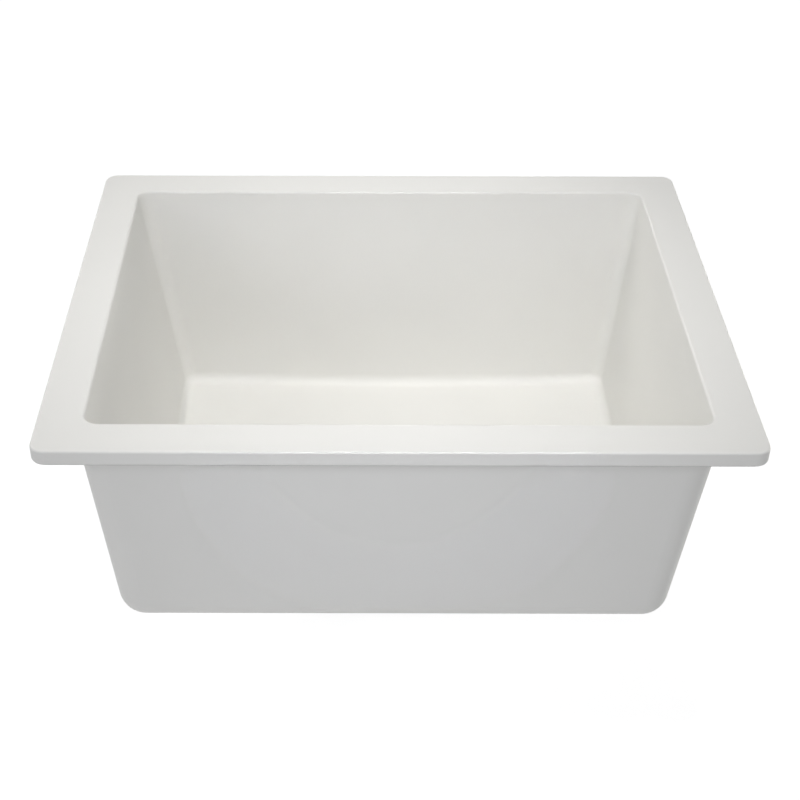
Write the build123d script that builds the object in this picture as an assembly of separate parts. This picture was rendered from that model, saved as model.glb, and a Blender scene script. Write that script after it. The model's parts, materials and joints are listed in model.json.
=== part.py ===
from build123d import *
from math import cos, radians, sin, tan
import os

# Drop-in prep sink: a moulded composite basin with its drain set and four mounting clips.
# Millimetres. The origin is the middle of the worktop's cut-out, on the worktop's surface,
# with X to the right, Y to the back and Z up. The photograph shows the front, at -Y.

# Basin, seen from above
basin_length = 511.2
basin_width = 409.6
rim_width = 33.0
rim_corner_radius = 10.5
rim_overhang = 24.4
opening_corner_radius = 11.0
outer_corner_radius = 22.0

# Basin, from the side
basin_height = 206.3
boss_height = 5.0
drain_land = 9.0
floor_fall_degrees = 2.0
wall_draft_degrees = 5.1
inner_left_draft_degrees = 9.6
inner_right_draft_degrees = 6.0
inner_front_draft_degrees = 5.2
rim_thickness = 12.6
rim_edge_radius = 1.5
rim_under_radius = 2.5
opening_edge_radius = 2.0
outer_foot_radius = 21.0
inner_foot_radius = 9.5
under_rim_radius = 3.0
cut_margin = 1.0

# Drain hole and the boss round it
drain_hole_radius = 45.0
recess_clearance = 1.0
boss_margin = 13.0

# Rim seal
seal_inset = 3.0
seal_width = 8.0
seal_thickness = 1.5
seal_inner_corner_radius = 3.0

# Strainer body
flange_radius = 57.15
flange_thickness = 2.0
flange_edge_radius = 1.2
flange_seal_thickness = 1.0
cup_radius = 41.0
cup_wall = 1.5
cup_depth = 46.0
cup_foot_radius = 6.0
cup_mouth_radius = 3.0
outlet_radius = 20.4
outlet_edge_radius = 1.0
spud_wall = 2.4
spud_length = 24.0

# Rings and nut under the basin
ring_clearance = 0.4
gasket_radius = 57.0
gasket_thickness = 3.0
friction_ring_radius = 55.5
friction_ring_thickness = 1.0
locknut_radius = 50.0
locknut_flange_radius = 54.5
locknut_flange_thickness = 2.5
locknut_height = 12.0
locknut_lugs = 6
lug_reach = 57.0
lug_width = 9.0
lug_corner_radius = 2.2
thread_clearance = 0.1

# Cross in the outlet
cross_height = 3.0
cross_arm_width = 2.4
cross_ring_width = 1.8
cross_hub_radius = 7.0
cross_drop = 0.8
press_clearance = 0.02

# Basket and what is on its post
basket_sheet = 0.8
basket_height = 33.0
basket_foot_radius = 30.0
basket_mouth_radius = 38.6
basket_lip = 1.6
basket_corner_radius = 3.0
slot_count = 24
slot_length = 15.0
slot_width = 2.4
floor_hole_radius = 1.6
hole_ring_radii = (11.5, 17.5, 23.5)
hole_ring_counts = (8, 14, 20)
post_radius = 3.2
post_clearance = 0.1
post_foot_radius = 4.0
post_foot_height = 1.6
catch_clearance = 0.4
catch_radius = 4.2
catch_height = 5.0
catch_taper = 1.7
catch_slit = 1.0
catch_slit_count = 4
catch_collar = 1.5
catch_drop = 1.5
knob_radius = 9.0
knob_waist_radius = 5.2
knob_height = 11.0
knob_rim_height = 3.8
knob_flare_height = 2.2
knob_socket_depth = 7.4
knob_edge_radius = 2.2
knob_drop = 2.5
stopper_radius = 27.0
stopper_thickness = 3.0
stopper_lip = 2.0
stopper_lip_width = 2.5
stopper_edge_radius = 0.5
seat_gap = 0.3

# Tailpiece and coupling nut
tailpiece_radius = 19.05
tailpiece_wall = 1.2
tailpiece_drop = 320.0
tail_flange_thickness = 2.0
washer_thickness = 2.0
coupling_flats = 54.0
coupling_grip = 14.0
coupling_lip = 3.0
coupling_lip_gap = 1.1
coupling_chamfer = 1.5

# Mounting clips, two on each side wall
clip_station = 118.0
clip_pivot_out = 4.5
clip_arm_level = -54.5
clip_arm_height = 8.0
clip_arm_reach = 26.0
clip_eye_radius = 5.0
clip_web = 3.0
clip_play = 0.3
pivot_radius = 2.0
turning_clearance = 0.05
rivet_head_radius = 3.6
rivet_head_height = 1.4
rivet_dome_radius = 1.0
bracket_plate = 2.5
bracket_width = 18.0
bracket_corner_radius = 4.0
bracket_rise = 26.0
bracket_lug = 2.5
bracket_lug_radius = 5.4
bracket_screw_pitch = 31.0
clamp_radius = 2.5
clamp_travel = 22.0
clamp_spare = 2.5
clamp_neck_radius = 1.95
clamp_head_flats = 8.0
clamp_head_height = 4.0
clamp_slot = 1.2
clamp_washer_radius = 5.5
clamp_washer = 1.0
clamp_rivet_radius = 2.8
clamp_rivet_height = 1.0
foot_width = 10.0
foot_length = 24.0
foot_thickness = 3.0
foot_corner_radius = 2.0
foot_boss_radius = 4.5
foot_boss_height = 4.5
foot_rise = 1.0
foot_pocket_depth = 1.6

# Screws and inserts that hold the brackets
anchor_radius = 2.0
anchor_length = 8.5
anchor_head_radius = 3.8
anchor_head_height = 2.4
anchor_dome_radius = 1.4
anchor_slot = 1.0
insert_radius = 3.5
insert_length = 7.5

# Levels that follow from the sizes
rim_under = seal_thickness
rim_top = rim_under + rim_thickness
boss_bottom = rim_top - basin_height
shell_bottom = boss_bottom + boss_height
drain_floor = boss_bottom + drain_land
flange_under = drain_floor - flange_thickness
recess_level = flange_under - flange_seal_thickness
seat_level = drain_floor - cup_depth
cup_bottom = seat_level - cup_wall
spud_end = cup_bottom - spud_length
gasket_level = boss_bottom - gasket_thickness
friction_level = gasket_level - friction_ring_thickness
basket_floor = seat_level + seat_gap + stopper_lip + stopper_thickness
cross_top = seat_level - cross_drop
cross_bottom = cross_top - cross_height
washer_bottom = spud_end - washer_thickness
tail_flange_bottom = washer_bottom - tail_flange_thickness
tail_end = rim_top - tailpiece_drop

# Radii that follow from the sizes
recess_radius = flange_radius + recess_clearance
boss_radius = gasket_radius + boss_margin
cup_outer = cup_radius + cup_wall
spud_radius = outlet_radius + spud_wall
tail_flange_radius = spud_radius - 0.2
catch_bore = post_radius + press_clearance
hub_bore = catch_radius + catch_clearance

# The walls' leans, and the side wall that the clips are on
lean = radians(wall_draft_degrees)
inner_left_lean = radians(inner_left_draft_degrees)
inner_right_lean = radians(inner_right_draft_degrees)
inner_front_lean = radians(inner_front_draft_degrees)
wall_line = basin_length / 2 - rim_overhang
side_normal = (cos(lean), 0, -sin(lean))

# Where the flat foot of the basin ends, which is where its underside begins to dish
front_line = basin_width / 2 - rim_overhang
dish_radius = front_line - (rim_under - shell_bottom) * tan(lean) - outer_foot_radius


def wall_out(level):
    """How far the side wall stands out at a level, from its line under the rim."""
    return -(rim_under - level) * tan(lean)


def turned(outline, rounded=()):
    """A solid turned about Z from an outline of (radius, level) points, with some corners rounded."""
    face = make_face(Plane.XZ * Polyline(*outline, close=True))
    for (radius, level), rounding in rounded:
        corner = face.vertices().sort_by_distance((radius, 0, level))[0]
        face = fillet(corner, rounding)
    return revolve(face, Axis.Z)


def ring(inner, outer, bottom, top):
    """A plain ring about Z."""
    return turned([(inner, bottom), (outer, bottom), (outer, top), (inner, top)])


def leaning_block(length, width, top, bottom, leans, corner):
    """A block whose walls lean in on the way down, left, right, front and back, with round corners."""
    left, right, front, back = ((top - bottom) * tan(angle) for angle in leans)
    slabs = []
    for plane, half, insets in ((Plane.XZ, length / 2, (left, right)), (Plane.YZ, width / 2, (front, back))):
        outline = Polyline(
            (-half, top), (half, top), (half - insets[1], bottom), (insets[0] - half, bottom), close=True
        )
        slabs.append(extrude(make_face(plane * outline), length, both=True))
    block = slabs[0] & slabs[1]
    levels = block.faces().sort_by(Axis.Z)
    return fillet(block.edges() - levels[0].edges() - levels[-1].edges(), corner)


def edges_within(shape, level, half_length, half_width):
    """The edges that lie at a level, no further out than a rectangle."""
    slack = 0.1
    return [
        edge
        for edge in shape.edges()
        if abs(edge.center().Z - level) < slack
        and abs(edge.center().X) < half_length + slack
        and abs(edge.center().Y) < half_width + slack
    ]


def save(shape, node):
    """Write one piece under its name."""
    export_step(shape, f"parts/{node}.step")


def group(shapes):
    """Several separate solids under one name."""
    return Compound(children=[s for shape in shapes for s in shape.solids()])


def rim_block():
    """The flat rim, with its rounded edges."""
    plan = RectangleRounded(basin_length, basin_width, rim_corner_radius)
    rim = Pos(0, 0, rim_under) * extrude(plan, rim_thickness)
    rim = fillet(rim.faces().sort_by(Axis.Z)[-1].edges(), rim_edge_radius)
    return fillet(rim.faces().sort_by(Axis.Z)[0].edges(), rim_under_radius)


def outer_shell():
    """The outside of the basin below the rim, down to its flat foot."""
    length = basin_length - 2 * rim_overhang
    width = basin_width - 2 * rim_overhang
    leans = (lean, lean, lean, lean)
    shell = leaning_block(length, width, rim_under, shell_bottom, leans, outer_corner_radius)
    return fillet(shell.faces().sort_by(Axis.Z)[0].edges(), outer_foot_radius)


def underside_boss():
    """The dished underside and the flat ring round the drain hole."""
    return turned(
        [
            (0, recess_level),
            (0, boss_bottom),
            (boss_radius, boss_bottom),
            (dish_radius, shell_bottom),
            (boss_radius, recess_level),
        ]
    )


def bowl_hollow():
    """The inside of the bowl: leaning walls, a floor that falls to the drain, a rounded foot."""
    deepest = drain_floor - rim_thickness
    length = basin_length - 2 * rim_width
    width = basin_width - 2 * rim_width
    leans = (inner_left_lean, inner_right_lean, inner_front_lean, inner_front_lean)
    walls = leaning_block(length, width, rim_top, deepest, leans, opening_corner_radius)
    reach = basin_length
    rise = (reach - recess_radius) * tan(radians(floor_fall_degrees))
    above_floor = turned(
        [
            (0, drain_floor),
            (recess_radius, drain_floor),
            (reach, drain_floor + rise),
            (reach, rim_top),
            (0, rim_top),
        ]
    )
    hollow = walls & above_floor
    floor = hollow.faces().filter_by(GeomType.CONE).sort_by(SortBy.AREA)[-1]
    return fillet(floor.outer_wire().edges(), inner_foot_radius)


def on_wall(level):
    """The plane of the leaning side wall at a level, facing out."""
    return Plane(origin=(wall_out(level), 0, level), x_dir=(0, 1, 0), z_dir=side_normal)


def insert_places():
    """The places of a clip's two inserts, above and below its arm."""
    middle = clip_arm_level + clip_arm_height / 2
    levels = [middle + step * bracket_screw_pitch / 2 for step in (-1, 1)]
    return [on_wall(level).location for level in levels]


def at_clip(shape, side, end):
    """Put a clip's piece at one of the four stations: side -1 left, 1 right, end -1 front, 1 rear."""
    placed = Pos(wall_line, -clip_station, 0) * shape
    if end > 0:
        placed = mirror(placed, Plane.XZ)
    if side < 0:
        placed = mirror(placed, Plane.YZ)
    return placed


stations = {
    "left_front": (-1, -1),
    "left_rear": (-1, 1),
    "right_front": (1, -1),
    "right_rear": (1, 1),
}


def sink_bowl():
    """The moulded basin, with the drain hole, the flange's recess and the inserts' holes."""
    bowl = rim_block() + outer_shell() + underside_boss()
    bowl = fillet(edges_within(bowl, rim_under, wall_line, front_line), under_rim_radius)
    bowl -= bowl_hollow()
    half_length = basin_length / 2 - rim_width
    half_width = basin_width / 2 - rim_width
    bowl = fillet(edges_within(bowl, rim_top, half_length, half_width), opening_edge_radius)
    bowl -= ring(0, recess_radius, recess_level, drain_floor + cut_margin)
    bowl -= ring(0, drain_hole_radius, boss_bottom - cut_margin, recess_level + cut_margin)
    hole = extrude(Circle(insert_radius), -insert_length)
    for side, end in stations.values():
        for place in insert_places():
            bowl -= at_clip(place * hole, side, end)
    return bowl


def rim_seal():
    """The strip under the rim's outer edge."""
    outer = RectangleRounded(
        basin_length - 2 * seal_inset,
        basin_width - 2 * seal_inset,
        rim_corner_radius - seal_inset,
    )
    inset = seal_inset + seal_width
    inner = RectangleRounded(
        basin_length - 2 * inset, basin_width - 2 * inset, seal_inner_corner_radius
    )
    return extrude(outer - inner, seal_thickness)


def strainer_body():
    """Drawn flange and cup, with the threaded spud below."""
    outline = [
        (flange_radius, drain_floor),
        (cup_radius, drain_floor),
        (cup_radius, seat_level),
        (outlet_radius, seat_level),
        (outlet_radius, spud_end),
        (spud_radius, spud_end),
        (spud_radius, cup_bottom),
        (cup_outer, cup_bottom),
        (cup_outer, flange_under),
        (flange_radius, flange_under),
    ]
    rounded = [
        ((flange_radius, drain_floor), flange_edge_radius),
        ((cup_radius, drain_floor), cup_mouth_radius),
        ((cup_radius, seat_level), cup_foot_radius),
        ((cup_outer, cup_bottom), cup_foot_radius + cup_wall),
        ((outlet_radius, seat_level), outlet_edge_radius),
    ]
    return turned(outline, rounded)


def locknut():
    """The big nut under the basin: a flanged ring with lugs to turn it by."""
    bottom = friction_level - locknut_height
    bore = cup_outer + thread_clearance
    nut = ring(bore, locknut_radius, bottom, friction_level)
    nut += ring(
        bore, locknut_flange_radius, friction_level - locknut_flange_thickness, friction_level
    )
    start = (bore + locknut_radius) / 2
    lug = Box(
        lug_reach - start,
        lug_width,
        locknut_height,
        align=(Align.MIN, Align.CENTER, Align.MIN),
    )
    lug = fillet(lug.edges().filter_by(Axis.Z).sort_by(Axis.X)[-2:], lug_corner_radius)
    for turn in range(locknut_lugs):
        nut += Rot(0, 0, turn * 360 / locknut_lugs) * Pos(start, 0, bottom) * lug
    return nut


def outlet_cross():
    """A ring, four arms and a hub that the basket's post slides in."""
    radius = outlet_radius - press_clearance
    plan = Circle(radius) - Circle(radius - cross_ring_width)
    span = 2 * radius - cross_ring_width
    plan += Rectangle(span, cross_arm_width)
    plan += Rectangle(cross_arm_width, span)
    plan += Circle(cross_hub_radius)
    plan -= Circle(hub_bore)
    return Pos(0, 0, cross_bottom) * extrude(plan, cross_height)


def basket_cup():
    """The drawn cup, with slots up its wall and rings of holes in its floor."""
    top = basket_floor + basket_height
    bore = post_radius + post_clearance
    inner_foot = basket_foot_radius - basket_sheet
    inner_mouth = basket_mouth_radius - basket_sheet
    lip = basket_mouth_radius + basket_lip
    outline = [
        (bore, basket_floor),
        (basket_foot_radius, basket_floor),
        (basket_mouth_radius, top - basket_sheet),
        (lip, top - basket_sheet),
        (lip, top),
        (inner_mouth, top),
        (inner_foot, basket_floor + basket_sheet),
        (bore, basket_floor + basket_sheet),
    ]
    rounded = [
        ((basket_foot_radius, basket_floor), basket_corner_radius),
        ((inner_foot, basket_floor + basket_sheet), basket_corner_radius - basket_sheet),
        ((inner_mouth, top), basket_sheet),
    ]
    cup = turned(outline, rounded)
    middle = (basket_foot_radius + basket_mouth_radius) / 2
    wall_span = basket_mouth_radius - basket_foot_radius
    slot = extrude(SlotOverall(slot_length, slot_width), wall_span, both=True)
    slot = Pos(middle, 0, basket_floor + basket_height / 2) * (Rot(0, 90, 0) * slot)
    cuts = [Rot(0, 0, turn * 360 / slot_count) * slot for turn in range(slot_count)]
    drill = Cylinder(floor_hole_radius, 4 * basket_sheet)
    for radius, count in zip(hole_ring_radii, hole_ring_counts):
        for turn in range(count):
            cuts.append(Rot(0, 0, turn * 360 / count) * Pos(radius, 0, basket_floor) * drill)
    return cup - cuts


def basket_post():
    """The rod from the knob down through the cross, with its riveted foot."""
    top = drain_floor - knob_drop - knob_height + knob_socket_depth
    foot = cross_bottom - catch_drop - catch_height
    return turned(
        [
            (0, foot - post_foot_height),
            (post_foot_radius, foot - post_foot_height),
            (post_foot_radius, foot),
            (post_radius, foot),
            (post_radius, top),
            (0, top),
        ],
        [((post_foot_radius, foot - post_foot_height), post_foot_height / 2)],
    )


def post_catch():
    """The slit spring sleeve at the post's foot, drawn as it is squeezed in the cross's hub."""
    bottom = cross_bottom - catch_drop - catch_height
    top = bottom + catch_height
    shoulder = (catch_bore + catch_radius) / 2
    sleeve = turned(
        [
            (catch_bore, bottom),
            (shoulder, bottom),
            (catch_radius, bottom + catch_taper),
            (catch_radius, top - catch_taper),
            (shoulder, top),
            (catch_bore, top),
        ]
    )
    slit = Box(
        catch_radius * 2,
        catch_slit,
        catch_height,
        align=(Align.MIN, Align.CENTER, Align.MIN),
    )
    for turn in range(catch_slit_count):
        sleeve -= Rot(0, 0, turn * 360 / catch_slit_count) * Pos(0, 0, bottom + catch_collar) * slit
    return sleeve


def basket_knob():
    """The turned knob, waisted for the fingers."""
    top = drain_floor - knob_drop
    bottom = top - knob_height
    socket = post_radius + press_clearance
    socket_top = bottom + knob_socket_depth
    rim_level = top - knob_rim_height
    waist_level = rim_level - knob_flare_height
    return turned(
        [
            (socket, bottom),
            (knob_waist_radius, bottom),
            (knob_waist_radius, waist_level),
            (knob_radius, rim_level),
            (knob_radius, top),
            (0, top),
            (0, socket_top),
            (socket, socket_top),
        ],
        [
            ((knob_radius, top), knob_edge_radius),
            ((knob_radius, rim_level), knob_edge_radius / 2),
            ((knob_waist_radius, waist_level), knob_edge_radius),
        ],
    )


def stopper_disc():
    """The rubber disc under the basket, with the lip that closes the outlet."""
    top = basket_floor
    underside = top - stopper_thickness
    edge = underside - stopper_lip
    bore = post_radius + press_clearance
    return turned(
        [
            (bore, underside),
            (stopper_radius - 2 * stopper_lip_width, underside),
            (stopper_radius - stopper_lip_width, edge),
            (stopper_radius, edge),
            (stopper_radius, top - stopper_thickness / 2),
            (stopper_radius - stopper_thickness / 2, top),
            (bore, top),
        ],
        [((stopper_radius, edge), stopper_edge_radius)],
    )


def tailpiece():
    """The flanged tube that the trap slips on."""
    inner = tailpiece_radius - tailpiece_wall
    return turned(
        [
            (inner, tail_end),
            (tailpiece_radius, tail_end),
            (tailpiece_radius, tail_flange_bottom),
            (tail_flange_radius, tail_flange_bottom),
            (tail_flange_radius, washer_bottom),
            (inner, washer_bottom),
        ]
    )


def coupling_nut():
    """The six-sided nut that draws the tailpiece up against the spud."""
    top = spud_end + coupling_grip
    bottom = tail_flange_bottom - coupling_lip
    body = Pos(0, 0, bottom) * extrude(
        RegularPolygon(coupling_flats / 2, 6, major_radius=False), top - bottom
    )
    corner = coupling_flats / 2 / cos(radians(30))
    body &= turned(
        [
            (0, bottom),
            (corner - 2 * coupling_chamfer, bottom),
            (corner - coupling_chamfer / 2, bottom + coupling_chamfer),
            (corner - coupling_chamfer / 2, top - coupling_chamfer),
            (corner - 2 * coupling_chamfer, top),
            (0, top),
        ]
    )
    bore = spud_radius + thread_clearance
    body -= ring(0, bore, tail_flange_bottom, top + cut_margin)
    lip_bore = tailpiece_radius + coupling_lip_gap
    body -= ring(0, lip_bore, bottom - cut_margin, tail_flange_bottom + cut_margin)
    return body


def clip_bracket():
    """The cast bracket: a plate on the leaning wall and two lugs for the arm's rivet."""
    arm_top = clip_arm_level + clip_arm_height
    middle = clip_arm_level + clip_arm_height / 2
    plan = RectangleRounded(bracket_width, 2 * bracket_rise, bracket_corner_radius)
    bracket = on_wall(middle) * extrude(plan, bracket_plate)
    for bottom in (arm_top + clip_play, clip_arm_level - clip_play - bracket_lug):
        start = wall_out(bottom + bracket_lug) + bracket_plate / 2
        reach = clip_pivot_out - start
        lug = Pos(start + reach / 2, 0) * Rectangle(reach, 2 * bracket_lug_radius)
        lug += Pos(clip_pivot_out, 0) * Circle(bracket_lug_radius)
        lug -= Pos(clip_pivot_out, 0) * Circle(pivot_radius)
        bracket += Pos(0, 0, bottom) * extrude(lug, bracket_lug)
    hole = extrude(Circle(anchor_radius + turning_clearance), 2 * bracket_plate, both=True)
    return bracket - [place * hole for place in insert_places()]


def clip_rivet():
    """The rivet that the arm turns on."""
    top = clip_arm_level + clip_arm_height + clip_play + bracket_lug
    bottom = clip_arm_level - clip_play - bracket_lug
    rivet = turned(
        [
            (0, bottom - rivet_head_height),
            (rivet_head_radius, bottom - rivet_head_height),
            (rivet_head_radius, bottom),
            (pivot_radius, bottom),
            (pivot_radius, top),
            (rivet_head_radius, top),
            (rivet_head_radius, top + rivet_head_height),
            (0, top + rivet_head_height),
        ],
        [
            ((rivet_head_radius, bottom - rivet_head_height), rivet_dome_radius),
            ((rivet_head_radius, top + rivet_head_height), rivet_dome_radius),
        ],
    )
    return Pos(clip_pivot_out, 0, 0) * rivet


def clip_arm():
    """The cast arm: an eye on the rivet, a threaded boss at the far end, a web and a rib."""
    plan = SlotCenterToCenter(clip_arm_reach, 2 * clip_eye_radius, rotation=90)
    arm = Pos(0, clip_arm_reach / 2) * extrude(plan, clip_web)
    arm += Pos(0, clip_arm_reach / 2) * Box(
        clip_web,
        clip_arm_reach,
        clip_arm_height,
        align=(Align.CENTER, Align.CENTER, Align.MIN),
    )
    for along in (0, clip_arm_reach):
        arm += Pos(0, along) * extrude(Circle(clip_eye_radius), clip_arm_height)
    arm -= extrude(Circle(pivot_radius + turning_clearance), clip_arm_height)
    arm -= Pos(0, clip_arm_reach) * extrude(
        Circle(clamp_radius + turning_clearance), clip_arm_height
    )
    return Pos(clip_pivot_out, 0, clip_arm_level) * arm


def clip_foot():
    """The foot that bears on the worktop's underside, loose on the clamp screw's neck."""
    boss_level = clip_arm_level + clip_arm_height + foot_rise
    pad_level = boss_level + foot_boss_height
    top = pad_level + foot_thickness
    foot = Pos(0, 0, boss_level) * extrude(Circle(foot_boss_radius), foot_boss_height)
    pad = extrude(RectangleRounded(foot_width, foot_length, foot_corner_radius), foot_thickness)
    foot += Pos(0, 0, pad_level) * pad
    neck_bore = clamp_neck_radius + turning_clearance
    foot -= ring(0, neck_bore, boss_level - cut_margin, top + cut_margin)
    pocket_bore = clamp_rivet_radius + clip_play
    foot -= ring(0, pocket_bore, top - foot_pocket_depth, top + cut_margin)
    return Pos(clip_pivot_out, clip_arm_reach, 0) * foot


def clip_screw():
    """The clamp screw: a riveted end in the foot, a neck, the shank and a slotted hexagon head."""
    boss_level = clip_arm_level + clip_arm_height + foot_rise
    pocket = boss_level + foot_boss_height + foot_thickness - foot_pocket_depth
    rivet_level = pocket + clip_play
    shoulder = boss_level - clip_play
    washer_top = clip_arm_level - clamp_travel - clamp_spare
    head_top = washer_top - clamp_washer
    head_bottom = head_top - clamp_head_height
    screw = turned(
        [
            (0, head_top - clamp_washer),
            (clamp_radius, head_top - clamp_washer),
            (clamp_radius, head_top),
            (clamp_washer_radius, head_top),
            (clamp_washer_radius, washer_top),
            (clamp_radius, washer_top),
            (clamp_radius, shoulder),
            (clamp_neck_radius, shoulder),
            (clamp_neck_radius, rivet_level),
            (clamp_rivet_radius, rivet_level),
            (clamp_rivet_radius, rivet_level + clamp_rivet_height),
            (0, rivet_level + clamp_rivet_height),
        ]
    )
    head = RegularPolygon(clamp_head_flats / 2, 6, major_radius=False)
    screw = Pos(0, 0, head_bottom) * extrude(head, clamp_head_height) + screw
    slot = Box(2 * clamp_washer_radius, clamp_slot, clamp_head_height)
    screw -= Pos(0, 0, head_bottom) * slot
    return Pos(clip_pivot_out, clip_arm_reach, 0) * screw


def bracket_screws():
    """A clip's two pan-head screws."""
    screw = turned(
        [
            (0, bracket_plate - anchor_length),
            (anchor_radius, bracket_plate - anchor_length),
            (anchor_radius, bracket_plate),
            (anchor_head_radius, bracket_plate),
            (anchor_head_radius, bracket_plate + anchor_head_height),
            (0, bracket_plate + anchor_head_height),
        ],
        [((anchor_head_radius, bracket_plate + anchor_head_height), anchor_dome_radius)],
    )
    slot = Box(2 * anchor_head_radius, anchor_slot, anchor_head_height)
    screw -= Pos(0, 0, bracket_plate + anchor_head_height) * slot
    return [place * screw for place in insert_places()]


def wall_inserts():
    """A clip's two threaded inserts, flush with the wall."""
    insert = ring(anchor_radius + turning_clearance, insert_radius, -insert_length, 0)
    return [place * insert for place in insert_places()]


def everywhere(shapes):
    """The same small pieces at all four clips, as one group of separate solids."""
    return group(at_clip(shape, *station) for station in stations.values() for shape in shapes)


os.makedirs("parts", exist_ok=True)
save(sink_bowl(), "sink_bowl")
save(rim_seal(), "rim_seal")
save(strainer_body(), "strainer_body")
seal_bore = cup_outer + ring_clearance
save(ring(seal_bore, flange_radius, recess_level, flange_under), "flange_seal")
save(ring(seal_bore, gasket_radius, gasket_level, boss_bottom), "under_gasket")
save(ring(seal_bore, friction_ring_radius, friction_level, gasket_level), "friction_ring")
save(locknut(), "strainer_locknut")
save(outlet_cross(), "outlet_cross")
save(basket_cup(), "basket_cup")
save(basket_post(), "basket_post")
save(post_catch(), "post_catch")
save(basket_knob(), "basket_knob")
save(stopper_disc(), "stopper_disc")
washer_bore = tailpiece_radius - tailpiece_wall
save(ring(washer_bore, tail_flange_radius, washer_bottom, spud_end), "tailpiece_washer")
save(coupling_nut(), "coupling_nut")
save(tailpiece(), "tailpiece")
for where, station in stations.items():
    save(at_clip(clip_bracket(), *station), f"clip_bracket_{where}")
    save(at_clip(clip_arm(), *station), f"clip_arm_{where}")
    save(at_clip(clip_foot(), *station), f"clip_foot_{where}")
    save(at_clip(clip_screw(), *station), f"clip_screw_{where}")
save(everywhere([clip_rivet()]), "clip_rivets")
save(everywhere(bracket_screws()), "bracket_screws")
save(everywhere(wall_inserts()), "wall_inserts")
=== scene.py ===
import json
import math

import bmesh
import bpy
from bpy.props import FloatProperty, FloatVectorProperty, IntProperty, PointerProperty
from mathutils import Euler, Matrix, Vector


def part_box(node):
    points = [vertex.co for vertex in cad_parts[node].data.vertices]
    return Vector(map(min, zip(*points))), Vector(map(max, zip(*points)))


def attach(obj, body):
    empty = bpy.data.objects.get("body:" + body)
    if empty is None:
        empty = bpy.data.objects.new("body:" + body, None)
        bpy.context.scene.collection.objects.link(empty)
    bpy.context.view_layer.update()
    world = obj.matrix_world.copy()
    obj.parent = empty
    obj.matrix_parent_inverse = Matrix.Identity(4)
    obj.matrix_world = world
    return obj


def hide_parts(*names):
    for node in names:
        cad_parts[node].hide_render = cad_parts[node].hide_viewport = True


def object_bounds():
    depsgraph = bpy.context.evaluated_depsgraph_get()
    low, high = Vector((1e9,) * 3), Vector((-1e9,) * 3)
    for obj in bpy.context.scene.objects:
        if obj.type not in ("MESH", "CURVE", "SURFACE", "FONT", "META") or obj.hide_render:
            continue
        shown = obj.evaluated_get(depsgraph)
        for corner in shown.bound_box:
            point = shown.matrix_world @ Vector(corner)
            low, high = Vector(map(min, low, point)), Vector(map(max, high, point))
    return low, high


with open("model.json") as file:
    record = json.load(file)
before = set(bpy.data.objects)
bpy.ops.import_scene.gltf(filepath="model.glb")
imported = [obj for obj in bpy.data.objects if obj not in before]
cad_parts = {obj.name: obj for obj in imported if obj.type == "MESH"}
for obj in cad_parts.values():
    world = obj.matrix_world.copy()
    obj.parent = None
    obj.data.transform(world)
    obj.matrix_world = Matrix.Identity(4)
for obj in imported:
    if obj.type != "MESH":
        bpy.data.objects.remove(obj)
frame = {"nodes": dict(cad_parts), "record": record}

bl_info = {
    "name": "Prep sink",
    "version": (1, 0, 0),
    "blender": (4, 5, 0),
    "location": "3D View > Sidebar > Prep sink",
    "description": "Finishes, screw threads and a studio stage for the drop-in prep sink",
    "category": "Object",
}

MM = 0.001
WHITE = (1, 1, 1)
cad_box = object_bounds()
nodes = frame["nodes"]
slot_of = {part["node"]: part["material_slot"] for part in frame["record"]["subparts"]}
clips = ("left_front", "left_rear", "right_front", "right_rear")


class BasinLook(bpy.types.PropertyGroup):
    """Colour and grain of the moulded basin."""

    colour: FloatVectorProperty(
        name="Colour",
        description="Colour of the cast stone",
        default=(0.871, 0.863, 0.831),
        subtype="COLOR",
        min=0,
        max=1,
    )
    roughness: FloatProperty(
        name="Roughness",
        description="How matte the moulded face is",
        default=0.5,
        subtype="FACTOR",
        min=0,
        max=1,
    )
    grain: FloatProperty(
        name="Grain",
        description="Size of one grain of the filler that shows in the face",
        default=0.6 * MM,
        unit="LENGTH",
        min=0.0001,
    )
    relief: FloatProperty(
        name="Relief",
        description="Height of the face's fine unevenness",
        default=0.02 * MM,
        unit="LENGTH",
        min=0,
    )


class MetalLook(bpy.types.PropertyGroup):
    """Colours and turning marks of the metals."""

    stainless: FloatVectorProperty(
        name="Stainless",
        description="Colour of the stainless steel",
        default=(0.61, 0.60, 0.58),
        subtype="COLOR",
        min=0,
        max=1,
    )
    chrome: FloatVectorProperty(
        name="Chrome",
        description="Colour of the plating on the knob, the coupling nut and the tailpiece",
        default=(0.55, 0.56, 0.58),
        subtype="COLOR",
        min=0,
        max=1,
    )
    zinc: FloatVectorProperty(
        name="Zinc",
        description="Colour of the cast and the plated zinc",
        default=(0.47, 0.48, 0.49),
        subtype="COLOR",
        min=0,
        max=1,
    )
    spring: FloatVectorProperty(
        name="Spring steel",
        description="Colour of the catch",
        default=(0.33, 0.34, 0.36),
        subtype="COLOR",
        min=0,
        max=1,
    )
    brass: FloatVectorProperty(
        name="Brass",
        description="Colour of the wall inserts",
        default=(0.72, 0.53, 0.25),
        subtype="COLOR",
        min=0,
        max=1,
    )
    mark: FloatProperty(
        name="Turning mark",
        description="Width of one mark that turning leaves",
        default=0.25 * MM,
        unit="LENGTH",
        min=0.00001,
    )


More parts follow.
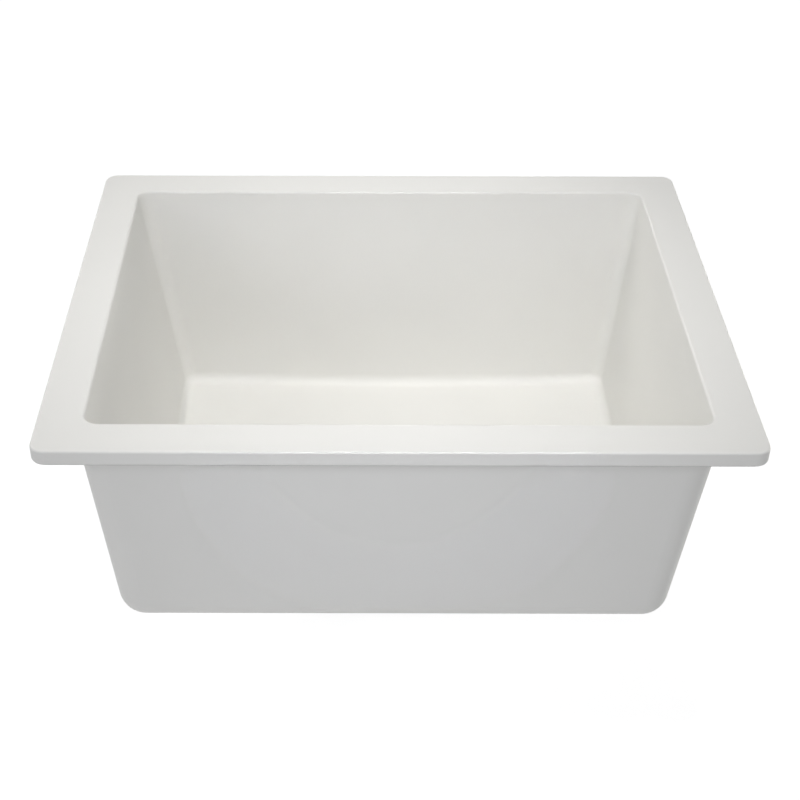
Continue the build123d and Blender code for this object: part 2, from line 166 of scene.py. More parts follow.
class SoftLook(bpy.types.PropertyGroup):
    """Colours of the seals and washers."""

    rubber: FloatVectorProperty(
        name="Rubber",
        description="Colour of the gasket and the stopper",
        default=(0.022, 0.022, 0.024),
        subtype="COLOR",
        min=0,
        max=1,
    )
    foam: FloatVectorProperty(
        name="Foam",
        description="Colour of the strip under the rim",
        default=(0.035, 0.035, 0.037),
        subtype="COLOR",
        min=0,
        max=1,
    )
    foam_cell: FloatProperty(
        name="Foam cell",
        description="Size of one bubble in the foam",
        default=0.5 * MM,
        unit="LENGTH",
        min=0.0001,
    )
    putty: FloatVectorProperty(
        name="Putty",
        description="Colour of the bed under the flange",
        default=(0.60, 0.54, 0.43),
        subtype="COLOR",
        min=0,
        max=1,
    )
    fibre: FloatVectorProperty(
        name="Fibre",
        description="Colour of the friction ring",
        default=(0.34, 0.20, 0.09),
        subtype="COLOR",
        min=0,
        max=1,
    )
    washer: FloatVectorProperty(
        name="Washer",
        description="Colour of the tailpiece's washer",
        default=(0.76, 0.76, 0.73),
        subtype="COLOR",
        min=0,
        max=1,
    )


class ThreadShape(bpy.types.PropertyGroup):
    """Screw threads of the drain and of the clamp screws."""

    drain_pitch: FloatProperty(
        name="Drain pitch",
        description="Distance between two ridges on the cup and the spud",
        default=2.2 * MM,
        unit="LENGTH",
        min=0.0001,
    )
    drain_ridge: FloatProperty(
        name="Drain ridge",
        description="Height of a ridge on the cup and the spud",
        default=0.7 * MM,
        unit="LENGTH",
        min=0,
    )
    screw_pitch: FloatProperty(
        name="Screw pitch",
        description="Distance between two ridges on a clamp screw",
        default=0.8 * MM,
        unit="LENGTH",
        min=0.0001,
    )
    screw_ridge: FloatProperty(
        name="Screw ridge",
        description="Height of a ridge on a clamp screw",
        default=0.43 * MM,
        unit="LENGTH",
        min=0,
    )
    steps: IntProperty(
        name="Steps",
        description="Straight pieces in a turn of thread: twice as many on the drain, "
        "half as many on the clamp screws",
        default=36,
        min=8,
    )


class StageSetup(bpy.types.PropertyGroup):
    """Camera and light."""

    camera_place: FloatVectorProperty(
        name="Camera place",
        description="Where the camera stands",
        default=(-0.03347, -1.00649, 0.63744),
        subtype="TRANSLATION",
        unit="LENGTH",
    )
    camera_tilt: FloatProperty(
        name="Camera tilt",
        description="Angle of the view below the horizon",
        default=math.radians(35.835),
        subtype="ANGLE",
        unit="ROTATION",
    )
    camera_roll: FloatProperty(
        name="Camera roll",
        description="Turn of the picture about the view",
        default=math.radians(0.136),
        subtype="ANGLE",
        unit="ROTATION",
    )
    lens: FloatProperty(
        name="Lens",
        description="Focal length on a 36 mm wide sensor, in millimetres",
        default=66.82,
        min=1,
    )
    shift: FloatProperty(
        name="Shift",
        description="Sideways shift of the picture, as a share of its width",
        default=0.0605,
    )
    overhead: FloatProperty(
        name="Overhead light",
        description="Power of the focused light over the bowl",
        default=0.6,
        subtype="POWER",
        unit="POWER",
        min=0,
    )
    front: FloatProperty(
        name="Front light",
        description="Power of the focused light on the front wall",
        default=0.17,
        subtype="POWER",
        unit="POWER",
        min=0,
    )
    near: FloatProperty(
        name="Near light",
        description="Power of the small, tightly focused light above the camera",
        default=0.122,
        subtype="POWER",
        unit="POWER",
        min=0,
    )
    left_front: FloatProperty(
        name="Left front light",
        description="Power of the far light from the left and the front",
        default=12.3,
        subtype="POWER",
        unit="POWER",
        min=0,
    )
    back: FloatProperty(
        name="Back light",
        description="Power of the light from the left and the back",
        default=9.4,
        subtype="POWER",
        unit="POWER",
        min=0,
    )
    side: FloatProperty(
        name="Side light",
        description="Power of the low light from the right and the back, "
        "which doesn't reach into the bowl",
        default=20.0,
        subtype="POWER",
        unit="POWER",
        min=0,
    )
    focus: FloatProperty(
        name="Focus",
        description="Angle over which the overhead and the front light spread",
        default=math.radians(35),
        subtype="ANGLE",
        unit="ROTATION",
    )
    near_focus: FloatProperty(
        name="Near focus",
        description="Angle over which the light above the camera spreads",
        default=math.radians(26),
        subtype="ANGLE",
        unit="ROTATION",
    )
    surround: FloatProperty(
        name="Surround",
        description="Strength of the even light from all round",
        default=0.3,
        min=0,
    )
    backdrop: FloatProperty(
        name="Backdrop",
        description="Brightness of the floor in the picture where no lamp lights it",
        default=0.85,
        min=0,
    )


class Wire:
    """A node's output, for use in plain arithmetic, where each step adds a Math node."""

    def __init__(self, graph, socket):
        self.graph = graph
        self.socket = socket

    def worked_out(self, operation, *values):
        """Add one Math node."""
        return self.graph.node("ShaderNodeMath", {"operation": operation}, enumerate(values))

    def __add__(self, other):
        return self.worked_out("ADD", self, other)

    def __sub__(self, other):
        return self.worked_out("SUBTRACT", self, other)

    def __rsub__(self, other):
        return self.worked_out("SUBTRACT", other, self)

    def __mul__(self, other):
        return self.worked_out("MULTIPLY", self, other)

    def __truediv__(self, other):
        return self.worked_out("DIVIDE", self, other)

    def __rtruediv__(self, other):
        return self.worked_out("DIVIDE", other, self)

    def __pow__(self, other):
        return self.worked_out("POWER", self, other)

    def __rpow__(self, other):
        return self.worked_out("POWER", other, self)

    __radd__ = __add__
    __rmul__ = __mul__


class Graph:
    """A node tree that is built up node by node."""

    def __init__(self, tree):
        self.tree = tree
        self.tree.nodes.clear()

    def node(self, kind, settings=None, sockets=(), out=0):
        """Add a node with its settings and its sockets' values or links. Gives an output."""
        made = self.tree.nodes.new(kind)
        for name, value in (settings or {}).items():
            setattr(made, name, value)
        for key, value in dict(sockets).items():
            if isinstance(value, Wire):
                self.tree.links.new(value.socket, made.inputs[key])
            else:
                made.inputs[key].default_value = value
        return Wire(self, made.outputs[out]) if made.outputs else None

    def mixed_shaders(self, share, first, second):
        """A shader between two, by a share from 0 to 1."""
        return self.node("ShaderNodeMixShader", sockets={0: share, 1: first, 2: second})


def opaque(colour):
    """A colour of three numbers with its alpha added; anything else as it is."""
    if isinstance(colour, Wire) or not hasattr(colour, "__len__") or len(colour) != 3:
        return colour
    return (*colour, 1.0)


def toned(colour, factor):
    """A colour made lighter or darker."""
    return tuple(min(1.0, factor * level) for level in colour)


class Finish(Graph):
    """One material."""

    def __init__(self, name):
        self.material = bpy.data.materials.new(name)
        self.material.use_nodes = True
        super().__init__(self.material.node_tree)
        self.place = self.node("ShaderNodeTexCoord", out="Object")

    def stretched(self, *scale):
        """The place on the piece, scaled along each axis."""
        return self.node("ShaderNodeMapping", sockets={"Vector": self.place, "Scale": scale})

    def noise(self, size, detail=2.0, place=None, roughness=0.5):
        """Soft noise between 0 and 1 with features of about a size in metres."""
        sockets = {
            "Vector": place or self.place,
            "Scale": 1 / size,
            "Detail": detail,
            "Roughness": roughness,
        }
        return self.node("ShaderNodeTexNoise", sockets=sockets)

    def cells(self, size):
        """Distance to the nearest of many points, scattered about a size apart."""
        sockets = {"Vector": self.place, "Scale": 1 / size}
        return self.node("ShaderNodeTexVoronoi", {"feature": "F1"}, sockets, "Distance")

    def circles(self, size):
        """Noise drawn out into circles about the drain's axis, as turning leaves it."""
        x, y, z = self.split()
        radius = (x * x + y * y) ** 0.5
        place = self.node("ShaderNodeCombineXYZ", sockets={"X": radius, "Y": z})
        return self.noise(size, 3.0, place, roughness=0.65)

    def between(self, value, start, end, low=0.0, high=1.0):
        """Map a value from start..end smoothly to low..high, and keep it in there."""
        sockets = {
            "Value": value,
            "From Min": start,
            "From Max": end,
            "To Min": low,
            "To Max": high,
        }
        return self.node("ShaderNodeMapRange", {"interpolation_type": "SMOOTHSTEP"}, sockets)

    def mix(self, first, second, share):
        """A colour between two, by a share from 0 to 1."""
        # Mix has sockets of the same names for numbers and vectors, so colours go by position
        share_in, first_in, second_in, colour_out = 0, 6, 7, 2
        sockets = {share_in: share, first_in: opaque(first), second_in: opaque(second)}
        return self.node("ShaderNodeMix", {"data_type": "RGBA"}, sockets, colour_out)

    def tones(self, colour, low, high, share):
        """A colour between two tones of it, by a share from 0 to 1."""
        return self.mix(toned(colour, low), toned(colour, high), share)

    def split(self):
        """The X, Y and Z of the place on the piece."""
        first = self.node("ShaderNodeSeparateXYZ", sockets={"Vector": self.place})
        return [Wire(self, output) for output in first.socket.node.outputs]

    def bumped(self, height, depth):
        """A normal that leans with a height, of which 0 to 1 stands for a depth in metres."""
        sockets = {"Height": height, "Distance": depth}
        return self.node("ShaderNodeBump", sockets=sockets, out="Normal")

    def shade(self, **sockets):
        """End the material in a Principled shader. Its sockets' names have _ for a space."""
        named = {name.replace("_", " "): opaque(value) for name, value in sockets.items()}
        shader = self.node("ShaderNodeBsdfPrincipled", sockets=named)
        self.node("ShaderNodeOutputMaterial", sockets={"Surface": shader})
        return self.material


def cast_stone(name, look):
    """The basin: matte cast stone with a fine grain of filler and a slight unevenness."""
    finish = Finish(name)
    cloud = finish.between(finish.noise(90 * MM, detail=3), 0.3, 0.7)
    grain = finish.noise(look.grain, detail=3, roughness=0.7)
    flecks = finish.between(finish.cells(3 * look.grain), 0.04, 0.16)
    tone = 0.55 * finish.between(grain, 0.25, 0.75) + 0.3 * cloud + 0.15 * flecks
    matte, shiny = look.roughness + 0.05, look.roughness - 0.05
    skin = 0.6 * finish.noise(4 * look.grain) + 0.4 * grain
    return finish.shade(
        Base_Color=finish.tones(look.colour, 0.975, 1.015, tone),
        Roughness=finish.between(grain, 0.3, 0.7, shiny, matte),
        Normal=finish.bumped(skin, look.relief),
    )


def stainless(name, look):
    """Stainless steel with fine circles from turning and polishing."""
    finish = Finish(name)
    circles = finish.circles(look.mark)
    haze = finish.noise(22 * MM, detail=3)
    return finish.shade(
        Base_Color=finish.tones(look.stainless, 0.88, 1, circles),
        Metallic=1.0,
        Roughness=0.12 + 0.16 * circles + 0.12 * haze,
        Normal=finish.bumped(circles, look.mark / 12),
    )


def chrome(name, look):
    """Bright plating with a thin haze that wiping leaves."""
    finish = Finish(name)
    haze = finish.between(finish.noise(14 * MM, detail=4), 0.35, 0.7)
    circles = finish.circles(4 * look.mark)
    return finish.shade(
        Base_Color=finish.tones(look.chrome, 1, 0.94, haze),
        Metallic=1.0,
        Roughness=0.05 + 0.04 * haze + 0.03 * circles,
        Normal=finish.bumped(circles, look.mark / 40),
    )


def cast_zinc(name, look):
    """Die-cast zinc: a dull skin with flow marks and fine pits."""
    finish = Finish(name)
    flow = finish.noise(7 * MM, detail=4, place=finish.stretched(1, 1, 0.35))
    pits = finish.between(finish.cells(1.1 * MM), 0.05, 0.3)
    grain = finish.noise(0.5 * MM, detail=3)
    return finish.shade(
        Base_Color=finish.tones(look.zinc, 0.78, 1.06, 0.7 * flow + 0.3 * pits),
        Metallic=0.9,
        Roughness=0.36 + 0.18 * flow + 0.1 * grain,
        Normal=finish.bumped(0.5 * grain + 0.5 * pits, 0.05 * MM),
    )


def zinc_plated(name, look):
    """Bright zinc plating with a faint blue and straw iridescence."""
    finish = Finish(name)
    blue = [tint * level for tint, level in zip((0.96, 1.01, 1.08), look.zinc)]
    straw = [tint * level for tint, level in zip((1.12, 1.1, 1.03), look.zinc)]
    film = finish.between(finish.noise(3 * MM, detail=3), 0.3, 0.7)
    grain = finish.noise(0.4 * MM, detail=3)
    return finish.shade(
        Base_Color=finish.mix(blue, straw, film),
        Metallic=1.0,
        Roughness=0.2 + 0.12 * grain + 0.08 * film,
        Normal=finish.bumped(grain, 0.01 * MM),
    )


def spring_steel(name, look):
    """Hardened strip: dark, with drawing marks along it."""
    finish = Finish(name)
    drawn = finish.noise(0.3 * MM, detail=3, place=finish.stretched(1, 1, 0.08))
    return finish.shade(
        Base_Color=finish.tones(look.spring, 0.8, 1.15, drawn),
        Metallic=1.0,
        Roughness=0.24 + 0.16 * drawn,
        Normal=finish.bumped(drawn, 0.01 * MM),
    )


def brass(name, look):
    """Turned brass, dulled in patches."""
    finish = Finish(name)
    dull = finish.between(finish.noise(2.5 * MM, detail=4), 0.4, 0.75)
    grain = finish.noise(0.3 * MM)
    return finish.shade(
        Base_Color=finish.tones(look.brass, 1, 0.6, dull),
        Metallic=1.0,
        Roughness=0.2 + 0.2 * dull + 0.08 * grain,
        Normal=finish.bumped(grain, 0.01 * MM),
    )


def black_rubber(name, look):
    """Moulded rubber with a dusty bloom."""
    finish = Finish(name)
    bloom = finish.between(finish.noise(9 * MM, detail=4), 0.4, 0.8)
    grain = finish.noise(0.6 * MM, detail=3)
    return finish.shade(
        Base_Color=finish.tones(look.rubber, 1, 2.2, bloom),
        Roughness=0.5 + 0.15 * bloom + 0.15 * grain,
        Normal=finish.bumped(grain, 0.06 * MM),
    )


def foam(name, look):
    """Closed-cell foam, whose bubbles show in its skin."""
    finish = Finish(name)
    bubbles = finish.between(finish.cells(look.foam_cell), 0.1, 0.5)
    cloud = finish.noise(12 * MM)
    return finish.shade(
        Base_Color=finish.tones(look.foam, 0.6, 1.5, 0.7 * bubbles + 0.3 * cloud),
        Roughness=0.82 + 0.12 * bubbles,
        Normal=finish.bumped(bubbles, 0.3 * look.foam_cell),
    )


def putty(name, look):
    """Plumber's putty, dented where it was pressed."""
    finish = Finish(name)
    dents = finish.noise(5 * MM, detail=3)
    grit = finish.between(finish.cells(0.8 * MM), 0.05, 0.35)
    return finish.shade(
        Base_Color=finish.tones(look.putty, 0.85, 1.08, 0.6 * dents + 0.4 * grit),
        Roughness=0.55 + 0.2 * dents,
        Normal=finish.bumped(dents, 0.4 * MM),
    )


def fibre(name, look):
    """Pressed paper fibre, with strands that run every way."""
    finish = Finish(name)
    along = finish.noise(1.2 * MM, detail=4, place=finish.stretched(0.2, 1, 1))
    across = finish.noise(1.2 * MM, detail=4, place=finish.stretched(1, 0.2, 1))
    strands = finish.between(along * across, 0.12, 0.4)
    return finish.shade(
        Base_Color=finish.tones(look.fibre, 0.75, 1.3, strands),
        Roughness=0.75 + 0.15 * strands,
        Normal=finish.bumped(strands, 0.06 * MM),
    )


def white_washer(name, look):
    """Waxy moulded plastic."""
    finish = Finish(name)
    circles = finish.circles(2 * look.foam_cell)
    cloud = finish.noise(6 * MM)
    return finish.shade(
        Base_Color=finish.tones(look.washer, 0.94, 1.03, cloud),
        Roughness=0.3 + 0.15 * circles,
        Normal=finish.bumped(circles, 0.02 * MM),
    )


makers = {
    "composite": (cast_stone, "sink_basin"),
    "stainless": (stainless, "sink_metal"),
    "chrome": (chrome, "sink_metal"),
    "cast_zinc": (cast_zinc, "sink_metal"),
    "zinc_plated": (zinc_plated, "sink_metal"),
    "spring_steel": (spring_steel, "sink_metal"),
    "brass": (brass, "sink_metal"),
    "black_rubber": (black_rubber, "sink_soft"),
    "foam": (foam, "sink_soft"),
    "putty": (putty, "sink_soft"),
    "fibre": (fibre, "sink_soft"),
    "white_washer": (white_washer, "sink_soft"),
}


def finish_of(slot):
    """The material of one of the record's slots, made the first time that it is asked for."""
    name = f"{slot}_finish"
    if name in bpy.data.materials:
        return bpy.data.materials[name]
    maker, group = makers[slot]
    return maker(name, getattr(bpy.context.scene, group))


def dress(*names):
    """Give CAD nodes the material of their slot."""
    for name in names:
        mesh = nodes[name].data
        mesh.materials.clear()
        mesh.materials.append(finish_of(slot_of[name]))


def linked(name, data):
    """An object in the scene that shows a mesh, lamp or camera."""
    made = bpy.data.objects.new(name, data)
    bpy.context.scene.collection.objects.link(made)
    return made


def shown(name, shape, body, slot, *replaced):
    """Turn a bmesh into a smooth piece that rides on a body and stands for some CAD nodes."""
    bmesh.ops.remove_doubles(shape, verts=shape.verts, dist=0.001 * MM)
    bmesh.ops.recalc_face_normals(shape, faces=shape.faces)
    mesh = bpy.data.meshes.new(name)
    shape.to_mesh(mesh)
    shape.free()
    for face in mesh.polygons:
        face.use_smooth = True
    mesh.set_sharp_from_angle(angle=math.radians(35))
    mesh.materials.append(finish_of(slot))
    piece = linked(name, mesh)
    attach(piece, body)
    if replaced:
        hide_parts(*replaced)


def lathed(shape, outline, axis, steps=48):
    """Sweep an outline of (radius, level) points about an upright axis."""
    verts = [shape.verts.new((axis[0] + radius, axis[1], level)) for radius, level in outline]
    edges = [shape.edges.new(pair) for pair in zip(verts, verts[1:])]
    bmesh.ops.spin(
        shape,
        geom=verts + edges,
        cent=(*axis, 0),
        axis=(0, 0, 1),
        angle=2 * math.pi,
        steps=steps,
        use_merge=True,
    )


def thread_graph():
    """Geometry Nodes that sweep a diamond along a spiral and thin it out at both ends."""
    tree = bpy.data.node_groups.new("thread", "GeometryNodeTree")
    tree.interface.new_socket("Geometry", in_out="OUTPUT", socket_type="NodeSocketGeometry")
    for name in ("Radius", "Ridge", "Pitch", "Length"):
        tree.interface.new_socket(name, in_out="INPUT", socket_type="NodeSocketFloat")
    tree.interface.new_socket("Steps", in_out="INPUT", socket_type="NodeSocketInt")
    tree.interface.new_socket("Material", in_out="INPUT", socket_type="NodeSocketMaterial")
    graph = Graph(tree)
    first = graph.node("NodeGroupInput")
    given = {output.name: Wire(graph, output) for output in first.socket.node.outputs}
    turns = given["Length"] / given["Pitch"]
    spiral = graph.node(
        "GeometryNodeCurveSpiral",
        sockets={
            "Resolution": given["Steps"],
            "Rotations": turns,
            "Start Radius": given["Radius"],
            "End Radius": given["Radius"],
            "Height": given["Length"],
        },
    )
    upright = graph.node("GeometryNodeSetCurveNormal", {"mode": "Z_UP"}, {"Curve": spiral})
    run = graph.node("GeometryNodeSplineParameter") * turns
    taper = run.worked_out("MINIMUM", run, turns - run) * 2
    half_pitch = given["Pitch"] / 2
    diamond = graph.node(
        "GeometryNodeCurvePrimitiveQuadrilateral",
        {"mode": "KITE"},
        {"Width": given["Ridge"] * 2, "Bottom Height": half_pitch, "Top Height": half_pitch},
    )
    sweep = graph.node(
        "GeometryNodeCurveToMesh",
        sockets={
            "Curve": upright,
            "Profile Curve": diamond,
            "Scale": taper.worked_out("MINIMUM", taper, 1.0),
            "Fill Caps": True,
        },
    )
    real = graph.node("GeometryNodeRealizeInstances", sockets={"Geometry": sweep})
    painted = graph.node(
        "GeometryNodeSetMaterial", sockets={"Geometry": real, "Material": given["Material"]}
    )
    graph.node("NodeGroupOutput", sockets={"Geometry": painted})
    return tree


def settled(host):
    """The plain mesh that an object's modifiers give; the object itself goes."""
    seen = host.evaluated_get(bpy.context.evaluated_depsgraph_get())
    mesh = bpy.data.meshes.new_from_object(seen)
    bpy.data.objects.remove(host)
    return mesh


def hosted(name, shape=None):
    """A helper object in the scene, from a bmesh or empty."""
    mesh = bpy.data.meshes.new(name)
    if shape:
        shape.to_mesh(mesh)
        shape.free()
    return linked(name, mesh)


def threaded(shape, place, **inputs):
    """Add a thread to a bmesh, upwards from a place. The inputs are those of thread_graph."""
    tree = bpy.data.node_groups.get("thread") or thread_graph()
    host = hosted("thread")
    modifier = host.modifiers.new("thread", "NODES")
    modifier.node_group = tree
    for item in tree.interface.items_tree:
        if item.in_out == "INPUT":
            modifier[item.identifier] = inputs[item.name.lower()]
    mesh = settled(host)
    mesh.transform(Matrix.Translation(place))
    shape.from_mesh(mesh)


def slotted_head(shape, axis, bottom, top):
    """Add a hexagon head with rounded lower edges and a slot across its end."""
    flats, edge_radius, slot_width = 8 * MM, 0.4 * MM, 1.2 * MM
    half_side_angle = math.radians(30)
    radius = flats / 2 / math.cos(half_side_angle)
    height = top - bottom
    middle = bottom + height / 2
    end = Matrix.Translation((axis.x, axis.y, bottom))
    turn = Matrix.Rotation(half_side_angle, 4, "Z")
    prism = bmesh.new()
    bmesh.ops.create_cone(
        prism,
        cap_ends=True,
        segments=6,
        radius1=radius,
        radius2=radius,
        depth=height,
        matrix=end @ Matrix.Translation((0, 0, height / 2)) @ turn,
    )
    lower = [edge for edge in prism.edges if all(vert.co.z < middle for vert in edge.verts)]
    bmesh.ops.bevel(prism, geom=lower, offset=edge_radius, segments=2, affect="EDGES")
    slot = bmesh.new()
    # the cutter passes the head on both sides, and goes in by half the head's height
    size = Matrix.Diagonal((4 * radius, slot_width, height, 1))
    bmesh.ops.create_cube(slot, size=1, matrix=end @ size)
    cutter = hosted("slot", slot)
    host = hosted("head", prism)
    modifier = host.modifiers.new("slot", "BOOLEAN")
    modifier.operation = "DIFFERENCE"
    modifier.object = cutter
    shape.from_mesh(settled(host))
    bpy.data.objects.remove(cutter)


def rounded_loop(shape, half, radius, level, arc_steps=6):
    """Points round a rectangle with round corners, given by its half sizes."""
    verts = []
    for corner, (across, along) in enumerate(((1, 1), (-1, 1), (-1, -1), (1, -1))):
        for step in range(arc_steps + 1):
            angle = math.radians(90 * (corner + step / arc_steps))
            x = across * (half[0] - radius) + radius * math.cos(angle)
            y = along * (half[1] - radius) + radius * math.sin(angle)
            verts.append(shape.verts.new((x, y, level)))
    return verts


class SINK_OT_basin(bpy.types.Operator):
    """Finish the moulded basin"""

    bl_idname = "sink.basin"
    bl_label = "Basin"

    def execute(self, context):
        dress("sink_bowl", "wall_inserts")
        return {"FINISHED"}


class SINK_OT_seals(bpy.types.Operator):
    """Finish the rings round the drain and lay the foam strip under the rim"""

    bl_idname = "sink.seals"
    bl_label = "Seals"

    def execute(self, context):
        dress("flange_seal", "under_gasket", "friction_ring", "tailpiece_washer")
        dress("stopper_disc")
        low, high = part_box("rim_seal")
        width, bulge, flank = 8 * MM, 0.4 * MM, 0.35 * MM
        outer_radius, inner_radius = 7.5 * MM, 3 * MM
        section = [
            (bulge, low.z),
            (0, low.z + flank),
            (0, high.z - flank),
            (bulge, high.z),
            (width - bulge, high.z),
            (width, high.z - flank),
            (width, low.z + flank),
            (width - bulge, low.z),
        ]
        shape = bmesh.new()
        loops = []
        for inset, level in section:
            radius = outer_radius + (inner_radius - outer_radius) * inset / width
            loops.append(rounded_loop(shape, (high.x - inset, high.y - inset), radius, level))
        for loop, other in zip(loops, loops[1:] + loops[:1]):
            for i in range(len(loop)):
                shape.faces.new((loop[i - 1], loop[i], other[i], other[i - 1]))
        shown("rim_seal_strip", shape, "basin", "foam", "rim_seal")
        return {"FINISHED"}


class SINK_OT_strainer(bpy.types.Operator):
    """Finish the strainer and cut the threads that show on its cup and spud"""

    bl_idname = "sink.strainer"
    bl_label = "Strainer"

    def execute(self, context):
        dress("strainer_body", "strainer_locknut", "outlet_cross", "coupling_nut", "tailpiece")
        thread = context.scene.sink_threads
        cup_radius, cup_foot_radius = 42.5 * MM, 7.5 * MM
        spud_radius, spud_length = 22.8 * MM, 24 * MM
        cup_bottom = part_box("strainer_body")[0].z + spud_length
        locknut_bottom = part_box("strainer_locknut")[0].z
        coupling_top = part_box("coupling_nut")[1].z
        runs = {
            # radius, lowest and highest level
            "cup_thread": (cup_radius, cup_bottom + cup_foot_radius, locknut_bottom),
            "spud_thread": (spud_radius, coupling_top, cup_bottom),
        }
        for name, (radius, bottom, top) in runs.items():
            shape = bmesh.new()
            threaded(
                shape,
                (0, 0, bottom + thread.drain_ridge),
                radius=radius,
                ridge=thread.drain_ridge,
                pitch=thread.drain_pitch,
                length=top - bottom - 2 * thread.drain_ridge,
                steps=2 * thread.steps,
                material=finish_of("stainless"),
            )
            shown(name, shape, "basin", "stainless")
        return {"FINISHED"}


class SINK_OT_basket(bpy.types.Operator):
    """Finish the lift-out basket, its post, catch and knob"""

    bl_idname = "sink.basket"
    bl_label = "Basket"

    def execute(self, context):
        dress("basket_cup", "basket_post", "post_catch", "basket_knob")
        return {"FINISHED"}


def clamp_screw_outline(head_top, washer_top, root, shoulder, top):
    """Half of a clamp screw's section above its head: washer, shank, neck, riveted end."""
    washer_radius, neck_radius, bevel = 5.5 * MM, 1.95 * MM, 0.3 * MM
    rivet_radius, rivet_height = 2.8 * MM, 1 * MM
    dome_width, dome_height = 0.6 * MM, 0.4 * MM
    return [
        (0, head_top),
        (washer_radius - bevel, head_top),
        (washer_radius, head_top + bevel),
        (washer_radius, washer_top - bevel),
        (washer_radius - bevel, washer_top),
        (root, washer_top),
        (root, shoulder - bevel),
        (neck_radius, shoulder),
        (neck_radius, top - rivet_height),
        (rivet_radius, top - rivet_height),
        (rivet_radius, top - dome_height),
        (rivet_radius - dome_width, top),
        (0, top),
    ]


class SINK_OT_clips(bpy.types.Operator):
    """Finish the mounting clips and cut the threads of their clamp screws"""

    bl_idname = "sink.clips"
    bl_label = "Mounting clips"

    def execute(self, context):
        thread = context.scene.sink_threads
        screw_radius, head_height, washer_height = 2.5 * MM, 4 * MM, 1 * MM
        end_length = 7.5 * MM
        root = screw_radius - thread.screw_ridge
        dress("clip_rivets", "bracket_screws")
        for clip in clips:
            dress(f"clip_bracket_{clip}", f"clip_arm_{clip}", f"clip_foot_{clip}")
            low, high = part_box(f"clip_screw_{clip}")
            axis = (low + high) / 2
            head_top = low.z + head_height
            washer_top = head_top + washer_height
            shoulder = high.z - end_length
            outline = clamp_screw_outline(head_top, washer_top, root, shoulder, high.z)
            shape = bmesh.new()
            lathed(shape, outline, (axis.x, axis.y))
            slotted_head(shape, axis, low.z, head_top)
            threaded(
                shape,
                (axis.x, axis.y, washer_top + thread.screw_ridge),
                radius=root,
                ridge=thread.screw_ridge,
                pitch=thread.screw_pitch,
                length=shoulder - washer_top - 2 * thread.screw_ridge,
                steps=thread.steps // 2,
                material=finish_of("zinc_plated"),
            )
            shown(
                f"clamp_screw_{clip}",
                shape,
                f"screw_{clip}",
                "zinc_plated",
                f"clip_screw_{clip}",
            )
        return {"FINISHED"}


def set_camera(setup):
    """The camera, tilted down at the front of the sink."""
    camera = bpy.data.cameras.new("camera")
    camera.lens = setup.lens
    camera.sensor_width = 36
    camera.shift_x = setup.shift
    holder = linked("camera", camera)
    holder.location = setup.camera_place
    tilt = Euler((math.radians(90) - setup.camera_tilt, 0, 0)).to_matrix()
    roll = Matrix.Rotation(setup.camera_roll, 3, "Z")
    holder.rotation_euler = (tilt @ roll).to_euler()
    bpy.context.scene.camera = holder


def seen_rays(graph):
    """1 for rays by which the camera sees a backdrop: straight, mirrored or through glass."""
    path = graph.node("ShaderNodeLightPath")
    outputs = path.socket.node.outputs
    camera, glossy, through = (
        Wire(graph, outputs[f"Is {kind} Ray"]) for kind in ("Camera", "Glossy", "Transmission")
    )
    return camera + glossy + through


def set_world(strength):
    """Even light from all round, which the camera sees as plain white."""
    world = bpy.data.worlds.new("surround")
    world.use_nodes = True
    bpy.context.scene.world = world
    daylight = (0.97, 0.98, 1.0)
    sky = Graph(world.node_tree)
    even, bright = (
        sky.node("ShaderNodeBackground", sockets={"Color": opaque(colour), "Strength": level})
        for colour, level in ((daylight, strength), (WHITE, 1))
    )
    both = sky.mixed_shaders(seen_rays(sky), even, bright)
    sky.node("ShaderNodeOutputWorld", sockets={"Surface": both})


def set_floor(level, backdrop):
    """A pale floor. The camera sees it nearly white, with the sink's shadow on it."""
    reach = 6
    corners = [(reach * x, reach * y, level) for x, y in ((-1, -1), (1, -1), (1, 1), (-1, 1))]
    mesh = bpy.data.meshes.new("floor")
    mesh.from_pydata(corners, [], [(0, 1, 2, 3)])
    floor = linked("floor", mesh)
    pale = Finish("floor_finish")
    tone = pale.tones(WHITE, 0.78, 0.82, pale.noise(4 * MM))
    matte = pale.node("ShaderNodeBsdfDiffuse", sockets={"Color": tone})
    lit = pale.node("ShaderNodeBsdfDiffuse", sockets={"Color": opaque(toned(WHITE, 0.35))})
    glow = pale.node("ShaderNodeEmission", sockets={"Strength": backdrop})
    bright = pale.node("ShaderNodeAddShader", sockets={0: lit, 1: glow})
    both = pale.mixed_shaders(seen_rays(pale), matte, bright)
    pale.node("ShaderNodeOutputMaterial", sockets={"Surface": both})
    mesh.materials.append(pale.material)


def area_light(name, power, place, size, colour, spread=math.pi):
    """A soft square lamp that points at the middle of the basin."""
    target = Vector((0, 0, -0.05))
    lamp = bpy.data.lights.new(name, "AREA")
    lamp.shape = "SQUARE"
    lamp.size = size
    lamp.energy = power
    lamp.color = colour
    lamp.spread = spread
    holder = linked(name, lamp)
    holder.location = place
    holder.rotation_euler = (target - holder.location).to_track_quat("-Z", "Y").to_euler()


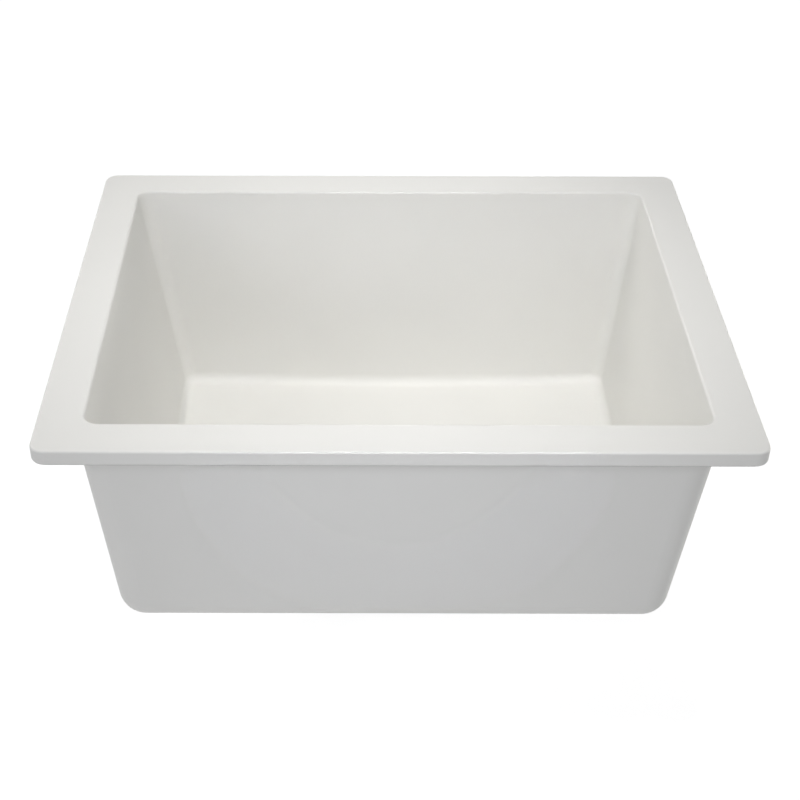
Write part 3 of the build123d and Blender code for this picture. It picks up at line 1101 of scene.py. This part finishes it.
class SINK_OT_stage(bpy.types.Operator):
    """Set up the floor, the lamps and the camera"""

    bl_idname = "sink.stage"
    bl_label = "Stage"

    def execute(self, context):
        context.scene.view_settings.view_transform = "Standard"
        setup = context.scene.sink_stage
        set_camera(setup)
        set_world(setup.surround)
        set_floor(cad_box[0].z, setup.backdrop)
        warm, cool = (1, 0.99, 0.965), (0.92, 0.94, 1)
        area_light("overhead", setup.overhead, (0, -0.2, 1.5), 0.5, warm, setup.focus)
        area_light("front", setup.front, (0, -1.8, 0.35), 0.5, cool, setup.focus)
        area_light("near", setup.near, (0, -1.3, 1), 0.3, cool, setup.near_focus)
        area_light("left_front", setup.left_front, (-2.2, -2.2, 1.4), 1.2, cool)
        area_light("back", setup.back, (-1.2, 1.2, 1.2), 0.9, warm)
        area_light("side", setup.side, (2.2, 1.3, -0.05), 0.4, warm)
        return {"FINISHED"}


steps = (
    SINK_OT_basin,
    SINK_OT_seals,
    SINK_OT_strainer,
    SINK_OT_basket,
    SINK_OT_clips,
    SINK_OT_stage,
)


class SINK_PT_panel(bpy.types.Panel):
    """The settings, and the steps that finish the sink, in order"""

    bl_idname = "SINK_PT_panel"
    bl_label = "Prep sink"
    bl_space_type = "VIEW_3D"
    bl_region_type = "UI"
    bl_category = "Prep sink"

    def draw(self, context):
        for step in steps:
            self.layout.operator(step.bl_idname)
        for name, kind in groups.items():
            box = self.layout.box()
            for setting in kind.__annotations__:
                box.prop(getattr(context.scene, name), setting)


groups = {
    "sink_basin": BasinLook,
    "sink_metal": MetalLook,
    "sink_soft": SoftLook,
    "sink_threads": ThreadShape,
    "sink_stage": StageSetup,
}


def register():
    """Make the settings, steps and panel known to Blender."""
    for kind in (*groups.values(), *steps, SINK_PT_panel):
        bpy.utils.register_class(kind)
    for name, kind in groups.items():
        setattr(bpy.types.Scene, name, PointerProperty(type=kind))


def unregister():
    """Take them out again."""
    for name in groups:
        delattr(bpy.types.Scene, name)
    for kind in (SINK_PT_panel, *reversed(steps), *groups.values()):
        bpy.utils.unregister_class(kind)


def main():
    """Run every step."""
    register()
    for step in steps:
        group, name = step.bl_idname.split(".")
        getattr(getattr(bpy.ops, group), name)()


if __name__ == "__main__":
    main()
